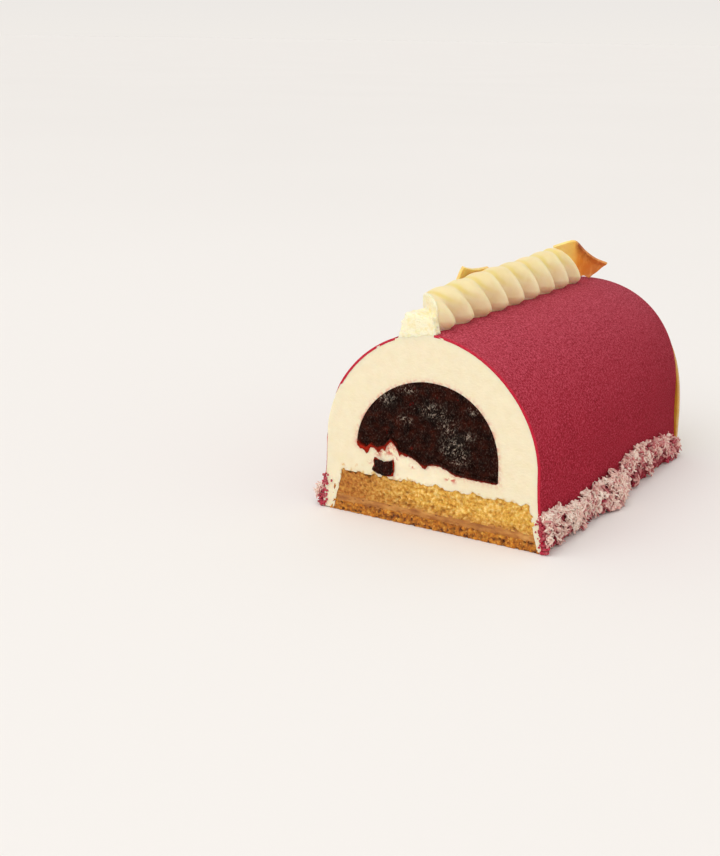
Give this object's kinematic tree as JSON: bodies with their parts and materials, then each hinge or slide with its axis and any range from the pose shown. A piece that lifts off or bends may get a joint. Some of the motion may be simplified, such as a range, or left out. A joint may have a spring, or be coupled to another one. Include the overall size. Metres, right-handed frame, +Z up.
{
  "type": "yule log cake",
  "caption": "Arched bar of mousse on a sponge base, cut across to show its berry core, with a sprayed coat, piped cream and grated coconut, for resting on a flat surface.",
  "frame": {"origin": "On the surface it rests on, under the middle of the whole part", "axes": "+X across the log to the right of the cut face, +Y along the log away from the cut face, +Z up"},
  "size_m": [0.0961, 0.1336, 0.0829],
  "materials": {
    "biscuit": "matte baked crumb",
    "praline": "dense satin paste",
    "sponge": "matte open crumb",
    "berry_compote": "wet, glossy, nearly black",
    "mousse": "matte, finely pored",
    "velvet_coat": "sprayed, velvety, fine-grained",
    "piped_cream": "smooth satin",
    "caramel_shaving": "satin, thin and translucent",
    "grated_coconut": "dry shreds, dusted pink",
    "caramel_plaque": "smooth satin"
  },
  "bodies": {
    "root": {"biscuit": "biscuit", "praline": "praline", "sponge": "sponge", "berry_insert": "berry_compote", "berry_scrap": "berry_compote", "mousse": "mousse", "velvet_coat": "velvet_coat", "piped_ruffle": "piped_cream", "far_shaving": "caramel_shaving", "left_shaving": "caramel_shaving", "coconut_right": "grated_coconut", "coconut_left": "grated_coconut", "end_plaque": "caramel_plaque"}
  },
  "joints": []
}
